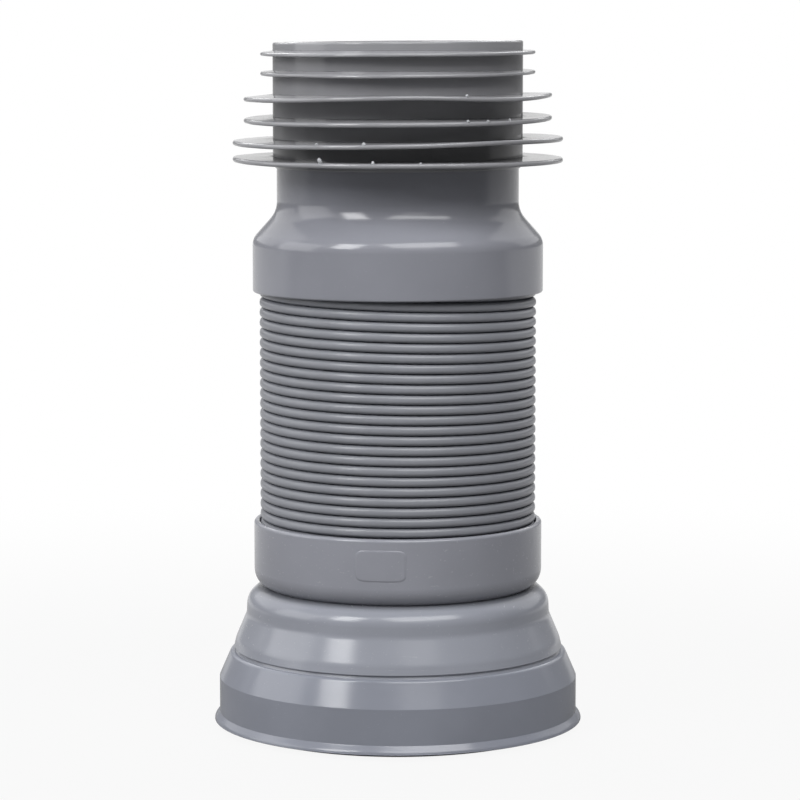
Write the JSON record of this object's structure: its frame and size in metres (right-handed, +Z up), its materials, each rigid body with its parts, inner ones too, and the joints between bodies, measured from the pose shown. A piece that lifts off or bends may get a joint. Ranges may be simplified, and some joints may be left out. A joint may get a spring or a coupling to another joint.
{
  "type": "toilet pan connector",
  "caption": "Flexible toilet pan connector: a soft-lipped bell for the pan's horn, a corrugated bellows that stretches, and a finned spigot that pushes into a soil pipe.",
  "frame": {"origin": "middle of the pan seal's bottom rim, on the surface that the connector stands on", "axes": "+Z up the bore, from the pan end to the outlet; turned about Z, it looks the same from every side"},
  "size_m": [0.1316, 0.1316, 0.2443],
  "materials": {
    "moulded_plastic": "satin",
    "bellows_plastic": "satin",
    "pan_seal_rubber": "satin",
    "fin_seal_rubber": "satin"
  },
  "bodies": {
    "pan_end": {"pan_seal": "pan_seal_rubber", "pan_bell": "moulded_plastic", "pan_cuff": "moulded_plastic", "bellows": "bellows_plastic"},
    "outlet_end": {"outlet_spigot": "moulded_plastic", "outlet_fin_seal": "fin_seal_rubber"}
  },
  "joints": [
    {"name": "bellows_stretch", "type": "slide", "parent": "pan_end", "child": "outlet_end", "axis": [0, 0, 1], "range_m": [0, 0.12], "deforming": ["bellows"]}
  ]
}
